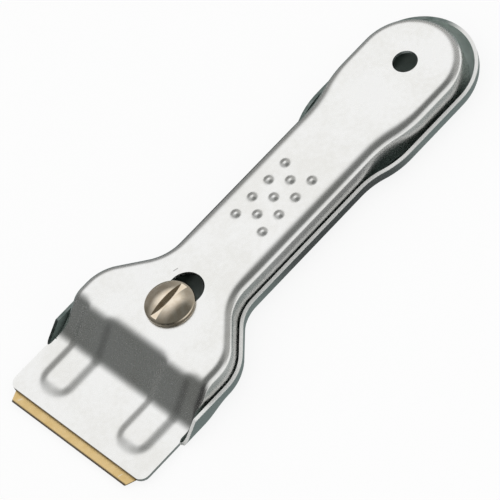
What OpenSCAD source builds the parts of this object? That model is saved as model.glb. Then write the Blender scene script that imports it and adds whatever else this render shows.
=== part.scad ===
// Razor blade scraper with a sliding blade guard, in millimetres.
// A pressed steel tray carries the blade on a flat tongue, and a pressed steel cover slides in the
// tray. Drawn as in use: the cover is fully back and a strip of the blade stands free of its plate.
// +X points along the tool to the cutting edge, +Z up, origin under the middle of the tool.

/* [Overall] */
// Length from the cutting edge to the back of the tray
overall_l = 144; // [135:1:165]
// Thickness of the steel sheet that the tray and the cover are pressed from
sheet_t = 0.9; // [0.7:0.05:1]

/* [Blade] */
// Length of the cutting edge
edge_w = 40; // [36:0.5:42]
// Width that each slanted corner takes off the cutting edge
corner_w = 1.5; // [0.5:0.1:2]
// Length of each slanted corner along the tool
corner_l = 3.4; // [2:0.1:5]
// Depth of the blade from its cutting edge to its back
blade_l = 16.4; // [15:0.1:17]
// Thickness of the blade
blade_t = 0.3; // [0.2:0.05:0.5]
// Width of the ground bevel behind the cutting edge
bevel_l = 0.6; // [0.4:0.1:2]
// Strip of blade in front of the plate while the cover is back
blade_show = 2.8; // [2:0.1:4]
// Clearance between the blade and the plate that slides over it
blade_gap = 0.05; // [0.02:0.01:0.1]

/* [Blade pegs] */
// Diameter of the pegs that locate the blade
peg_d = 4; // [3.5:0.1:5]
// Diameter of the peg's shank, riveted in the tongue
peg_shank_d = 3; // [2:0.1:3.4]
// Height of the pegs above the blade
peg_rise = 0.75; // [0.5:0.05:0.9]
// Clearance round a peg in the blade's hole
peg_gap = 0.15; // [0.05:0.05:0.3]

/* [Cover] */
// Width of the cover along the handle
neck_w = 23; // [20:0.5:25]
// Width of the cover's head
head_w = 46.2; // [44:0.2:50]
// Width of the cover's round back end
tail_w = 28; // [26:0.5:29]
// Height of the cover's top above the underside of the tray
top_h = 10.8; // [9.8:0.1:13]
// Outer radius of the bend round the cover's top
edge_r = 2; // [1.4:0.1:3]
// Radius of the two bends in each side of the flare
flare_r = 12; // [8:0.5:14]
// Steepest angle of the flare to the tool's length
flare_angle = 42.5; // [36:0.5:50]
// Distance from the cutting edge back to the start of the flare
flare_lead = 33; // [31.5:0.5:37]
// Length of the straight sides in front of the round back end
tail_flat = 8.7; // [5:0.1:14]
// Radius of the two bends where the handle widens to the back end
tail_turn_r = 30; // [22:1:40]
// Clearance of the cover's lower edge over the tray's bend
skirt_gap = 0.75; // [0.4:0.05:1.5]

/* [Step and plate] */
// Width of the plate over the blade
plate_w = 47.2; // [46:0.2:50]
// Length of the flat plate in front of the step
plate_l = 16.1; // [15.2:0.1:17]
// Radius of the plate's front corners
plate_corner_r = 2.5; // [1:0.1:5]
// How far the back of the plate, between the tray's rims, stands in from the cover's sides
plate_back_in = 0.1; // [0.05:0.05:0.3]
// Slope of the step
step_angle = 45; // [40:1:52]
// Outer radius of the bend at the top of the step
step_top_r = 4.3; // [3:0.1:5]
// Outer radius of the bend at the foot of the step
step_foot_r = 4.2; // [3:0.1:5]
// Width of the two raised ribs
rib_w = 8.2; // [7:0.1:10]
// Height of the ribs above the plate and the step
rib_h = 1; // [0.9:0.05:1.2]
// Distance between the middles of the two ribs
rib_spacing = 27.2; // [22:0.2:30]
// Distance from the plate's front edge back to the nose of a rib
rib_nose = 4.1; // [3:0.1:6]

/* [Grip pips] */
// Diameter of the pips pressed into the cover for the thumb
pip_d = 3; // [2:0.1:3.6]
// Height of the pips
pip_h = 0.5; // [0.3:0.05:0.7]
// Distance between pips along the tool
pip_pitch_x = 6; // [5:0.1:7]
// Distance between rows of pips
pip_pitch_y = 4.6; // [4:0.1:5.4]
// Distance from the cutting edge back to the middle of the pips
pip_lead = 77.6; // [74:0.5:82]

/* [Tray] */
// Clearance between the cover's sides and the tray's rim
side_gap = 0.7; // [0.5:0.05:0.8]
// Height of the rim
rim_h = 5.4; // [4.8:0.1:6.4]
// Outer radius of the bend between the tray's floor and its rim
bend_r = 2; // [1.6:0.1:2.4]
// Outer width of the tray's round back end
tray_tail_w = 32; // [31.6:0.2:34]
// Length of the straight sides in front of the tray's round back end
tray_tail_flat = 19.4; // [17:0.1:22]
// Radius of the two bends where the tray widens to its back end
tray_turn_r = 20; // [16:0.5:26]
// Distance from the cutting edge back to the top of the rim's front end
rim_end_lead = 22; // [20:0.5:25]
// Gap between the back of the blade and the foot of the rim's front end
rim_foot_gap = 0.6; // [0.4:0.1:1.2]
// Distance from the cutting edge back to the front of the tongue
tongue_lead = 4.5; // [4:0.1:7]
// Slanted corner at the front of the tongue
tongue_corner = 3; // [1:0.5:5]

/* [Clamp screw] */
// Distance from the cutting edge back to the screw
screw_lead = 40.3; // [39.5:0.1:43]
// Travel of the cover
travel = 5.5; // [4:0.1:6]
// Width of the slot that the screw clamps through
slot_w = 9.5; // [9:0.1:10]
// Diameter of the screw's head
head_d = 12.6; // [12.4:0.1:15]
// Height of the straight rim of the head
head_rim_h = 0.95; // [0.8:0.05:1.6]
// Height of the dome on the head
dome_h = 1.8; // [1:0.1:2.4]
// Width of the coin slot
coin_w = 1.9; // [1.4:0.1:2.4]
// Depth of the coin slot below the top of the dome
coin_depth = 1.4; // [1.2:0.1:2.2]
// Diameter of the screw's thread
thread_d = 6; // [5:0.1:6.4]
// Length of the screw below its head
screw_l = 8.6; // [6:0.1:10]
// Clearance round the thread in its bush
thread_gap = 0.05; // [0.02:0.01:0.1]
// Diameter of the bush that the screw turns in
bush_d = 12; // [11:0.1:13]
// Diameter of the bush's foot, riveted in the floor
bush_foot_d = 8; // [7.6:0.1:9]
// Clearance round the bush's spigot in the slot
spigot_gap = 0.1; // [0.05:0.05:0.2]
// Height of the spigot in the slot
spigot_h = 0.7; // [0.4:0.05:0.75]
// Clearance above and below the clamped sheet while the screw is slack
clamp_gap = 0.05; // [0.02:0.01:0.1]

/* [Hanging hole] */
// Diameter of the hanging hole
hang_d = 6.5; // [5:0.1:8]
// Distance from the middle of the tray's round back end forward to the hole
hang_lead = 2; // [1:0.1:4]

/* [Hidden] */
$fn = 96;
// Steps in a bend that is drawn by its points
bend_steps = 6;
// How far a bend's sheet stands proud of the runs that end in it, and how far they run into it
lap = 0.02;
run_in = 0.3;
// Overrun of every cut
over = 2;
// Width of the flat sheet that is drawn with each bent edge
lip = 3;

// Places along the tool
edge_x = overall_l / 2;
plate_front_x = edge_x - blade_show;
foot_x = plate_front_x - plate_l;
head_x = edge_x - flare_lead;
screw_x = edge_x - screw_lead;
rim_foot_x = edge_x - blade_l - rim_foot_gap;
tongue_x = edge_x - tongue_lead;
tray_tail_x = tray_tail_w / 2 - overall_l / 2;
tail_x = tray_tail_x + hang_lead;

// Half widths, and the place of each face of the sheet outside the cover's own face
neck_half = neck_w / 2;
head_half = head_w / 2;
plate_back_w = head_w - 2 * plate_back_in;
blade_w = edge_w + 2 * corner_w;
rim_in = side_gap;
rim_out = side_gap + sheet_t;

// Heights
blade_z = sheet_t;
plate_z = blade_z + blade_t + blade_gap;
plate_top = plate_z + sheet_t;
ceiling_z = top_h - sheet_t;
bush_top = ceiling_z - clamp_gap;
head_z = top_h + clamp_gap;
bend_in_r = bend_r - sheet_t;
skirt_z = bend_r - sqrt(pow(bend_in_r, 2) - pow(bend_in_r - side_gap, 2)) + skirt_gap;

// Flare between handle and head: two equal bends and the straight run between them
flare_rise = head_half - neck_half - 2 * flare_r * (1 - cos(flare_angle));
flare_run = 2 * flare_r * sin(flare_angle) + flare_rise / tan(flare_angle);
neck_x = head_x - flare_run;

// Step: where its top bend starts
step_r = step_top_r + step_foot_r;
step_rise = top_h - plate_top - step_r * (1 - cos(step_angle));
step_run = step_r * sin(step_angle) + step_rise / tan(step_angle);
step_x = foot_x - step_run;
rib_shift = rib_h / sin(step_angle);
rib_end_x = plate_front_x - rib_nose - rib_w / 2;
rib_places = [-rib_spacing / 2, rib_spacing / 2];
peg_x = rib_end_x;

// Thumb pips: rows of four, three and four
pip_rows = [-1, 0, 1];
pip_r = (pow(pip_d / 2, 2) + pow(pip_h, 2)) / (2 * pip_h);
pip_z = top_h + pip_h - pip_r;
pip_places = [
    for (row = pip_rows)
        let (last = row == 0 ? 2 : 3)
        for (i = [0 : last])
            [edge_x - pip_lead + (i - last / 2) * pip_pitch_x, row * pip_pitch_y]
];

// Points on a bend about a centre, from one angle to another
function bend(centre, r, from, to) = [
    for (i = [0 : bend_steps])
        let (a = from + (to - from) * i / bend_steps)
        centre + r * [cos(a), sin(a)]
];

// Section of a sheet bent through a square corner, which has its outer corner at the origin: a wall
// hangs down by h and a lip runs inwards by l. It is drawn thicker by $lap on every face, so that
// a run of sheet ends inside the bend that follows it.
module bent_sheet(h, l, r) {
    inset = sheet_t + $lap;
    difference() {
        union() {
            translate([-l - $lap, -h - $lap])
                square([l + 2 * $lap, h - r + $lap]);
            translate([-l - $lap, -h - $lap])
                square([l - r + $lap, h + 2 * $lap]);
            translate([-r, -r])
                intersection() {
                    circle(r + $lap);
                    square(2 * r);
                }
        }
        translate([-l - over, -h - over])
            square([l + over - inset, h + over - r]);
        translate([-l - over, -h - over])
            square([l + over - r, h + over - inset]);
        translate([-r, -r])
            circle(r - inset);
    }
}

// Carries a section along a straight run from a point, at an angle to the tool
module straight(x, y, angle, l) {
    $lap = 0;
    translate([x, y, 0])
        rotate([0, 0, angle])
            translate([-run_in, 0, 0])
                rotate([90, 0, 90])
                    linear_extrude(l + 2 * run_in)
                        children();
}

// Carries a section round a bend whose centre lies inside the outline
module outer_bend(x, y, r, from, to) {
    $lap = 2 * lap;
    translate([x, y, 0])
        rotate_extrude(angle = to - from, start = from)
            translate([r, 0])
                children();
}

// Carries a section round a bend whose centre lies outside the outline
module inner_bend(x, y, r, from, to) {
    $lap = lap;
    lead = run_in / r * 180 / PI;
    translate([x, y, 0])
        rotate_extrude(angle = to - from + 2 * lead, start = from - lead)
            translate([r, 0])
                mirror([1, 0])
                    children();
}

// Carries a section along one side of the tool, with the outline grown by g. The back end is given
// by its centre, half width, straight length and the bends that lead to it.
module along_side(g, end_x, end_half, flat, turn_r) {
    turn = acos(1 - (end_half - neck_half) / (2 * turn_r));
    wide_x = end_x + flat;
    narrow_x = wide_x + 2 * turn_r * sin(turn);
    slope_x = neck_x + flare_r * sin(flare_angle) - g * sin(flare_angle);
    slope_y = neck_half + flare_r * (1 - cos(flare_angle)) + g * cos(flare_angle);
    straight(head_x, head_half + g, 0, rim_foot_x - head_x)
        children();
    outer_bend(head_x, head_half - flare_r, flare_r + g, 90, 90 + flare_angle)
        children();
    straight(slope_x, slope_y, flare_angle, flare_rise / sin(flare_angle))
        children();
    inner_bend(neck_x, neck_half + flare_r, flare_r - g, 270, 270 + flare_angle)
        children();
    straight(narrow_x, neck_half + g, 0, neck_x - narrow_x)
        children();
    inner_bend(narrow_x, neck_half + turn_r, turn_r - g, 270 - turn, 270)
        children();
    outer_bend(wide_x, end_half - turn_r, turn_r + g, 90 - turn, 90)
        children();
    straight(end_x, end_half + g, 0, flat)
        children();
}

// Carries a section round the whole tool, open at the front
module along_outline(g, end_x, end_half, flat, turn_r) {
    along_side(g, end_x, end_half, flat, turn_r)
        children();
    mirror([0, 1, 0])
        along_side(g, end_x, end_half, flat, turn_r)
            children();
    outer_bend(end_x, 0, end_half + g, 90, 270)
        children();
}

// Flat sheet inside the same outline, which its bent edge laps over
module flat_inside(g, end_x, end_half, flat, turn_r) {
    turn = acos(1 - (end_half - neck_half) / (2 * turn_r));
    wide_x = end_x + flat;
    narrow_x = wide_x + 2 * turn_r * sin(turn);
    right = concat(
        [[rim_foot_x, head_half + g]],
        bend([head_x, head_half - flare_r], flare_r + g, 90, 90 + flare_angle),
        bend([neck_x, neck_half + flare_r], flare_r - g, 270 + flare_angle, 270),
        [[narrow_x, neck_half + g], [wide_x, end_half + g]],
        bend([end_x, 0], end_half + g, 90, 180)
    );
    left = [for (i = [len(right) - 2 : -1 : 0]) [right[i].x, -right[i].y]];
    linear_extrude(sheet_t)
        polygon(concat(right, left));
}

// Stands a drawing in length and height across the tool's width
module across(w) {
    rotate([90, 0, 0])
        linear_extrude(w, center = true)
            children();
}

// All that lies under the step's sheet, taken d below its outer face, with the step moved forward
// by shift and the plate raised by lift, and ending at the height low and the place end_x
module under_step(d, shift, lift, low, end_x) {
    top_c = [step_x + shift, top_h - step_top_r];
    foot_c = [foot_x + shift - lift / tan(step_angle), plate_top + lift + step_foot_r];
    polygon(concat(
        [[step_x - edge_r, low], [step_x - edge_r, top_h - d]],
        bend(top_c, step_top_r - d, 90, 90 - step_angle),
        bend(foot_c, step_foot_r + d, 270 - step_angle, 270),
        [[end_x, plate_top + lift - d], [end_x, low]]
    ));
}

// Everything in front of the step's sheet, taken d below its outer face
module before_step(d) {
    difference() {
        translate([step_x, 0])
            square([overall_l, top_h + over]);
        under_step(d, 0, 0, -over, overall_l);
    }
}

// Plate outline seen from above, narrow between the rims and wide in front of them
module plate_outline() {
    r = plate_corner_r;
    wide_l = plate_front_x - rim_foot_x;
    translate([rim_foot_x, -plate_w / 2])
        square([wide_l - r, plate_w]);
    translate([rim_foot_x, r - plate_w / 2])
        square([wide_l, plate_w - 2 * r]);
    for (y = [r - plate_w / 2, plate_w / 2 - r])
        translate([plate_front_x - r, y])
            circle(r);
    translate([foot_x, -plate_back_w / 2])
        square([rim_foot_x - foot_x, plate_back_w]);
}

// Block of a rib from the underside of the sheet up, or its hollow when inset by the sheet
module rib(d, low) {
    across(rib_w - 2 * d)
        under_step(d, rib_shift, rib_h, low, rib_end_x);
    translate([rib_end_x, 0, low])
        cylinder(h = plate_top + rib_h - d - low, d = rib_w - 2 * d);
}

// Oblong hole along the tool between two places
module oblong(x1, x2, d, low, high) {
    for (x = [x1, x2])
        translate([x, 0, low])
            cylinder(h = high - low, d = d);
    translate([x1, -d / 2, low])
        cube([x2 - x1, d, high - low]);
}

// Tray: floor, bent up rim, tongue under the blade
module base_tray() color("lightgray") {
    end_half = tray_tail_w / 2 - rim_out;
    floor_g = rim_out - bend_r;
    tongue_half = head_half + floor_g;
    difference() {
        union() {
            difference() {
                along_outline(rim_out, tray_tail_x, end_half, tray_tail_flat, tray_turn_r)
                    mirror([0, 1])
                        bent_sheet(rim_h, bend_r + lip, bend_r);
                translate([-overall_l, -head_w, -over])
                    cube([2 * overall_l, 2 * head_w, over]);
                across(2 * head_w)
                    polygon([
                        [rim_foot_x, sheet_t],
                        [edge_x - rim_end_lead, rim_h],
                        [edge_x - rim_end_lead, rim_h + over],
                        [edge_x, rim_h + over],
                        [edge_x, sheet_t]
                    ]);
            }
            flat_inside(floor_g - lip / 2, tray_tail_x, end_half, tray_tail_flat, tray_turn_r);
            linear_extrude(sheet_t)
                polygon([
                    [foot_x, -tongue_half],
                    [tongue_x - tongue_corner, -tongue_half],
                    [tongue_x, tongue_corner - tongue_half],
                    [tongue_x, tongue_half - tongue_corner],
                    [tongue_x - tongue_corner, tongue_half],
                    [foot_x, tongue_half]
                ]);
        }
        oblong(tail_x, tail_x + travel, hang_d, -over, sheet_t + over);
        translate([screw_x, 0, -over])
            cylinder(h = sheet_t + 2 * over, d = bush_foot_d);
        for (y = rib_places)
            translate([peg_x, y, -over])
                cylinder(h = sheet_t + 2 * over, d = peg_shank_d);
    }
}

// Top and skirts of the cover, back from the step
module cover_shell() {
    skirt_h = top_h - skirt_z;
    top_g = -edge_r - lip / 2;
    difference() {
        union() {
            translate([0, 0, top_h])
                along_outline(0, tail_x, tail_w / 2, tail_flat, tail_turn_r)
                    bent_sheet(skirt_h, edge_r + lip, edge_r);
            translate([0, 0, ceiling_z])
                flat_inside(top_g, tail_x, tail_w / 2, tail_flat, tail_turn_r);
        }
        translate([-overall_l, -head_w, top_h])
            cube([2 * overall_l, 2 * head_w, over]);
        across(2 * head_w)
            before_step(lap);
    }
}

// Sheet of the step between the skirts, and its foot between the rims
module step_sheet() {
    intersection() {
        across(2 * head_w)
            difference() {
                under_step(0, 0, 0, 0, rim_foot_x);
                under_step(sheet_t, 0, 0, -over, rim_foot_x + over);
            }
        union() {
            translate([0, -head_half + lap, skirt_z])
                cube([overall_l, head_w - 2 * lap, top_h - edge_r - skirt_z]);
            translate([0, edge_r - head_half, skirt_z])
                cube([overall_l, head_w - 2 * edge_r, top_h]);
            for (y = [edge_r - head_half, head_half - edge_r])
                translate([0, y, top_h - edge_r])
                    rotate([0, 90, 0])
                        cylinder(h = overall_l, r = edge_r - lap);
            translate([0, -plate_back_w / 2, 0])
                cube([overall_l, plate_back_w, top_h - edge_r]);
        }
    }
}

// Cover: rounded top and skirts, step, ribbed plate
module slide_cover() color("silver") {
    difference() {
        union() {
            cover_shell();
            step_sheet();
            translate([0, 0, plate_z])
                linear_extrude(sheet_t)
                    plate_outline();
            for (y = rib_places)
                translate([0, y, 0])
                    difference() {
                        rib(0, plate_z);
                        across(rib_w + over)
                            under_step(sheet_t, 0, 0, 0, foot_x);
                    }
            for (p = pip_places)
                intersection() {
                    translate([p.x, p.y, pip_z])
                        sphere(pip_r);
                    translate([p.x, p.y, top_h - sheet_t / 2])
                        cylinder(h = sheet_t + pip_h, r = pip_r);
                }
        }
        for (y = rib_places)
            translate([0, y, 0])
                rib(sheet_t, plate_z - over);
        for (p = pip_places)
            translate([p.x, p.y, pip_z])
                sphere(pip_r - sheet_t);
        oblong(screw_x - travel, screw_x, slot_w, ceiling_z - over, top_h + over);
        translate([tail_x, 0, ceiling_z - over])
            cylinder(h = sheet_t + 2 * over, d = hang_d);
    }
}

// Blade: flat strip with a ground edge, slanted corners and two locating holes
module blade() color("goldenrod") {
    back_x = edge_x - blade_l;
    difference() {
        intersection() {
            across(blade_w)
                polygon([
                    [back_x, blade_z],
                    [edge_x - bevel_l, blade_z],
                    [edge_x, blade_z + blade_t / 2],
                    [edge_x - bevel_l, blade_z + blade_t],
                    [back_x, blade_z + blade_t]
                ]);
            translate([0, 0, blade_z - over])
                linear_extrude(blade_t + 2 * over)
                    polygon([
                        [back_x - over, -blade_w / 2],
                        [edge_x - corner_l, -blade_w / 2],
                        [edge_x, -edge_w / 2],
                        [edge_x, edge_w / 2],
                        [edge_x - corner_l, blade_w / 2],
                        [back_x - over, blade_w / 2]
                    ]);
        }
        for (y = rib_places)
            translate([peg_x, y, blade_z - over])
                cylinder(h = blade_t + 2 * over, d = peg_d + 2 * peg_gap);
    }
}

// Two pegs riveted flush in the tongue, which hold the blade by its holes
module blade_pegs() color("dimgray") {
    for (y = rib_places)
        translate([peg_x, y, 0]) {
            cylinder(h = sheet_t, d = peg_shank_d);
            translate([0, 0, sheet_t])
                cylinder(h = blade_t + peg_rise, d = peg_d);
        }
}

// Bush riveted in the floor: the cover lies on its shoulder and slides along its spigot
module threaded_bush() color("darkgray") {
    difference() {
        union() {
            translate([screw_x, 0, 0])
                cylinder(h = bush_top, d = bush_foot_d);
            translate([screw_x, 0, sheet_t])
                cylinder(h = bush_top - sheet_t, d = bush_d);
            translate([screw_x, 0, sheet_t])
                cylinder(h = bush_top - sheet_t + spigot_h, d = slot_w - 2 * spigot_gap);
        }
        translate([screw_x, 0, -over])
            cylinder(h = top_h + 2 * over, d = thread_d + 2 * thread_gap);
    }
}

// Screw with a low domed head and a coin slot along the tool
module clamp_screw() color("rosybrown") {
    dome_r = (pow(head_d / 2, 2) + pow(dome_h, 2)) / (2 * dome_h);
    head_top = head_z + head_rim_h + dome_h;
    translate([screw_x, 0, 0])
        difference() {
            union() {
                intersection() {
                    translate([0, 0, head_z])
                        cylinder(h = head_rim_h + dome_h, d = head_d);
                    translate([0, 0, head_top - dome_r])
                        sphere(dome_r);
                }
                translate([0, 0, head_z - screw_l])
                    cylinder(h = screw_l + head_rim_h, d = thread_d);
            }
            translate([-head_d, -coin_w / 2, head_top - coin_depth])
                cube([2 * head_d, coin_w, coin_depth + over]);
        }
}

base_tray();
slide_cover();
blade();
blade_pegs();
threaded_bush();
clamp_screw();
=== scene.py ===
# %% [markdown]
# # A razor blade scraper in pressed steel
# The packed model gives the true sizes and the moving bodies. This script dresses it: the two sheet
# pressings and the screw are made again with soft bends, and every piece gets a finish.
# The frame is loaded first. The dressed tool may not grow.

# %% Load the frame
import bmesh
import bpy
import numpy as np
from mathutils import Matrix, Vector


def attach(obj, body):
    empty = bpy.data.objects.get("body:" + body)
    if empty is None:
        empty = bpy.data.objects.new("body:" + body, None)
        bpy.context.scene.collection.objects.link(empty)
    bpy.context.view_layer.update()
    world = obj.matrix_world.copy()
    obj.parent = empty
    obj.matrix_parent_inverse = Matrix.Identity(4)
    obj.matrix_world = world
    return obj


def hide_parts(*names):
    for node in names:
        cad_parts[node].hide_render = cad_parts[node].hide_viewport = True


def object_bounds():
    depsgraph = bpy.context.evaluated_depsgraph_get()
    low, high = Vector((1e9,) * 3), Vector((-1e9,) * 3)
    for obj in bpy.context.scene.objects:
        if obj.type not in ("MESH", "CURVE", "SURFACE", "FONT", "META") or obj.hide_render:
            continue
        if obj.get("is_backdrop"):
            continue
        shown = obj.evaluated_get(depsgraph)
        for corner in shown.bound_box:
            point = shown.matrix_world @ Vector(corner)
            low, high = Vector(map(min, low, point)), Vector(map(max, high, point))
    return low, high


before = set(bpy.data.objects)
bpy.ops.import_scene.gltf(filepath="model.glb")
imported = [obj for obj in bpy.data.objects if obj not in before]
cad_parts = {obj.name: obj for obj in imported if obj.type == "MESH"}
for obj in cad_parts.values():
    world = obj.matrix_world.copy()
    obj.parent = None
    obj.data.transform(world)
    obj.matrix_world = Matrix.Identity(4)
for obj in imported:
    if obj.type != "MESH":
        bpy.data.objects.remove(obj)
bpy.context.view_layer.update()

scene = bpy.context.scene
MM = 0.001

# %% [markdown]
# The sizes below are in millimetres, and nearly all are the ones the solids were drawn with, so that a
# surface made here lies where its solid lies. Only the lean of the skirts, the cover's shoulder and the
# tray's bend are softer, as on a pressed sheet. Sizes could be measured from the frame, but a bend
# radius or the start of a flare can't be read from a box, so they are written out once.

# %% Sizes in millimetres
SHEET = 0.9
EDGE_X, PLATE_X, FOOT_X, HEAD_X = 72.0, 69.2, 53.1, 39.0
TOP_Z, PLATE_TOP, SKIRT_Z = 10.8, 2.15, 2.79
NECK, HEAD, TAIL = 11.5, 23.1, 14.0
FLARE_R, FLARE = 12.0, np.radians(42.5)
FLARE_RISE = HEAD - NECK - 2 * FLARE_R * (1 - np.cos(FLARE))
NECK_X = HEAD_X - 2 * FLARE_R * np.sin(FLARE) - FLARE_RISE / np.tan(FLARE)
TAIL_X, TAIL_FLAT, TAIL_TURN_R = -54.0, 8.7, 30.0
TRAY_TAIL, TRAY_TAIL_X, TRAY_FLAT, TRAY_TURN_R = 14.4, -56.0, 19.4, 20.0
EDGE_R, STEP_TOP_R, STEP_FOOT_R, STEP = 2.0, 4.3, 4.2, np.radians(45)
STEP_RISE = TOP_Z - PLATE_TOP - (STEP_TOP_R + STEP_FOOT_R) * (1 - np.cos(STEP))
STEP_X = FOOT_X - (STEP_TOP_R + STEP_FOOT_R) * np.sin(STEP) - STEP_RISE / np.tan(STEP)
PLATE_HALF, CORNER_R = 23.6, 2.5
DRAFT, DRAFT_H, SHOULDER, HANDLE_SHOULDER = 0.5, 6.0, 1.3, 0.45
HANDLE_BACK, HANDLE_FRONT = (-48.0, -34.0), (8.0, 26.0)
RIM_OUT, RIM_H, RIM_LOW, RIM_END_X, RIM_FOOT_X, RIM_FADE = 1.6, 5.4, 1.0, 50.0, 55.0, 0.5
BEND_R, FRONT_BEND_R, FRONT_BEND_X = 4.0, 2.0, (HEAD_X + 0.5, 48.0)
TAPER_X, TONGUE_X = 64.5, 67.5
SCREW_X, SLOT_BACK_X, SLOT_R, HANG_R, BUSH_HOLE_R, TRAVEL = 31.7, 26.2, 4.75, 3.25, 4.0, 5.5
print(f"neck starts at {NECK_X:.2f} mm, step at {STEP_X:.2f} mm")

# %% [markdown]
# Both pressings follow one plan outline: a wide head, a flare, a slim handle and a round back end. It
# could be a curve object, but a surface needs the outward direction at each point as well, so the
# outline is worked out as arrays of points and normals, from straight runs and arcs that meet smoothly.

# %% The plan outline of one side
def arc(centre, radius, first, last, outward, count=400):
    """Points at one distance from a centre between two angles; the normal points from the centre, or
    towards it where outward is -1."""
    angle = np.linspace(first, last, count)
    ray = np.stack([np.cos(angle), np.sin(angle)], 1)
    return np.array(centre) + radius * ray, outward * ray


def run(first, last, count=200):
    """Points spread evenly on a straight line; the normal is the line's direction turned a quarter."""
    first, last = np.array(first, float), np.array(last, float)
    along = np.linspace(0, 1, count)[:, None]
    ahead = (last - first) / np.linalg.norm(last - first)
    return first + along * (last - first), np.tile([ahead[1], -ahead[0]], (count, 1))


def side_outline(grow, end_x, end_half, flat, turn_r):
    """One side from the head back to the middle of the round end, moved outwards by grow: each arc and
    run in turn, with its points pushed along their normals."""
    turn = np.arccos(1 - (end_half - NECK) / (2 * turn_r))
    wide_x = end_x + flat
    narrow_x = wide_x + 2 * turn_r * np.sin(turn)
    right = np.pi / 2
    slope = np.array([np.sin(FLARE), np.cos(FLARE)]) * [-1, 1] * FLARE_R
    pieces = [
        run([PLATE_X, HEAD], [HEAD_X, HEAD]),
        arc([HEAD_X, HEAD - FLARE_R], FLARE_R, right, right + FLARE, 1),
        run(np.array([HEAD_X, HEAD - FLARE_R]) + slope, np.array([NECK_X, NECK + FLARE_R]) - slope),
        arc([NECK_X, NECK + FLARE_R], FLARE_R, -right + FLARE, -right, -1),
        run([NECK_X, NECK], [narrow_x, NECK]),
        arc([narrow_x, NECK + turn_r], turn_r, -right, -right - turn, -1),
        arc([wide_x, end_half - turn_r], turn_r, right - turn, right, 1),
        run([wide_x, end_half], [end_x, end_half]),
    ]
    points = np.concatenate([p for p, _ in pieces])
    normals = np.concatenate([n for _, n in pieces])
    return points + grow * normals, normals


def stations(outline, places, inset):
    """The outline's points and normals where the line inset from it passes the given places along the
    tool, by interpolation, so that a row across the flat stays square to the tool."""
    points, normals = (part[::-1] for part in outline)
    inner_x = (points - inset * normals)[:, 0]
    both = np.stack([np.interp(places, inner_x, v) for v in (*points.T, *normals.T)], 1)
    return both[:, :2], both[:, 2:] / np.linalg.norm(both[:, 2:], axis=1)[:, None]


def merged(*lists, apart=0.04):
    """All the places of several lists, from front to back, less those that lie closer than apart to the
    one before them."""
    places = np.sort(np.concatenate(lists))
    return places[np.append(True, np.diff(places) > apart)][::-1]


cover_outline = side_outline(0, TAIL_X, TAIL, TAIL_FLAT, TAIL_TURN_R)
tray_outline = side_outline(RIM_OUT, TRAY_TAIL_X, TRAY_TAIL, TRAY_FLAT, TRAY_TURN_R)
print("outline points:", len(cover_outline[0]), "and", len(tray_outline[0]))

# %% [markdown]
# A pressing is a grid: its rows are stations along the outline, and its columns run up the wall, round
# the bend and across the flat to the middle of the tool. One half is worked out and the other is its
# mirror image. Where columns fall together, as at the end of a wall, their points are merged.

# %% From a grid to a mesh
def grid_faces(rows, columns, flip=False):
    """Four-sided faces between neighbouring rows and columns of a grid, numbered row by row."""
    first = (np.arange(rows - 1)[:, None] * columns + np.arange(columns - 1)).ravel()
    faces = np.stack([first, first + columns, first + columns + 1, first + 1], 1)
    return faces[:, ::-1] if flip else faces


def add_mesh(name, points, faces, merge=0.002):
    """A mesh object from points in millimetres and faces, with points that fall together merged."""
    mesh = bpy.data.meshes.new(name)
    mesh.from_pydata((np.asarray(points).reshape(-1, 3) * MM).tolist(), [], np.asarray(faces).tolist())
    work = bmesh.new()
    work.from_mesh(mesh)
    bmesh.ops.remove_doubles(work, verts=work.verts, dist=merge * MM)
    bmesh.ops.dissolve_degenerate(work, edges=work.edges, dist=merge * MM)
    work.to_mesh(mesh)
    work.free()
    mesh.shade_smooth()
    piece = bpy.data.objects.new(name, mesh)
    scene.collection.objects.link(piece)
    return piece


def from_patches(name, patches):
    """One mesh from several grids of points, each with a mark that says if its faces are turned over."""
    points, faces, count = [], [], 0
    for grid, flip in patches:
        faces.append(grid_faces(*grid.shape[:2], flip) + count)
        points.append(grid.reshape(-1, 3))
        count += len(points[-1])
    return add_mesh(name, np.concatenate(points), np.concatenate(faces))


def both_halves(name, half, flip):
    """A mesh from one half's grid of points and its mirror image across the tool."""
    return from_patches(name, [(half, flip), (half * [1, -1, 1], not flip)])


print("grid of 3 by 4 points has", len(grid_faces(3, 4)), "faces")

# %% [markdown]
# Pressed sheet has one thickness all over, and its cut edges are never quite sharp: they catch a thin
# line of light. The inner face could be worked out as a second grid, but a Solidify modifier sets it at
# the same distance everywhere, and a Bevel modifier then rounds each edge that turns sharply.

# %% Thickness and soft edges
def soften(piece, name, width, segments, sharp=np.radians(50)):
    """Rounds each edge that turns by more than the sharp angle, over a width in millimetres."""
    soft = piece.modifiers.new(name, "BEVEL")
    soft.width, soft.segments, soft.limit_method = width * MM, segments, "ANGLE"
    soft.angle_limit, soft.harden_normals = sharp, True


def sheet_metal(piece, edge, inside=0, cut=0):
    """Gives a surface the thickness of the sheet, inwards, and softens the cut edges. The inner face and
    the cut wear the finishes that stand inside and cut places further on."""
    wall = piece.modifiers.new("thickness", "SOLIDIFY")
    wall.thickness, wall.offset = SHEET * MM, -1
    wall.material_offset, wall.material_offset_rim = inside, cut
    soften(piece, "cut_edges", edge, segments=3)


print("sheet thickness:", SHEET, "mm")

# %% [markdown]
# The front of the cover steps down to the plate that lies over the blade. Two ribs are pressed in it:
# they run from the plate up the step and die out in the top. Extruding them would leave hard corners,
# so the whole front is one height for each place: the step's own profile, and the same profile moved
# forward and up, mixed by a soft mask of each rib. The thumb pips are low domes added to that height.

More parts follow.
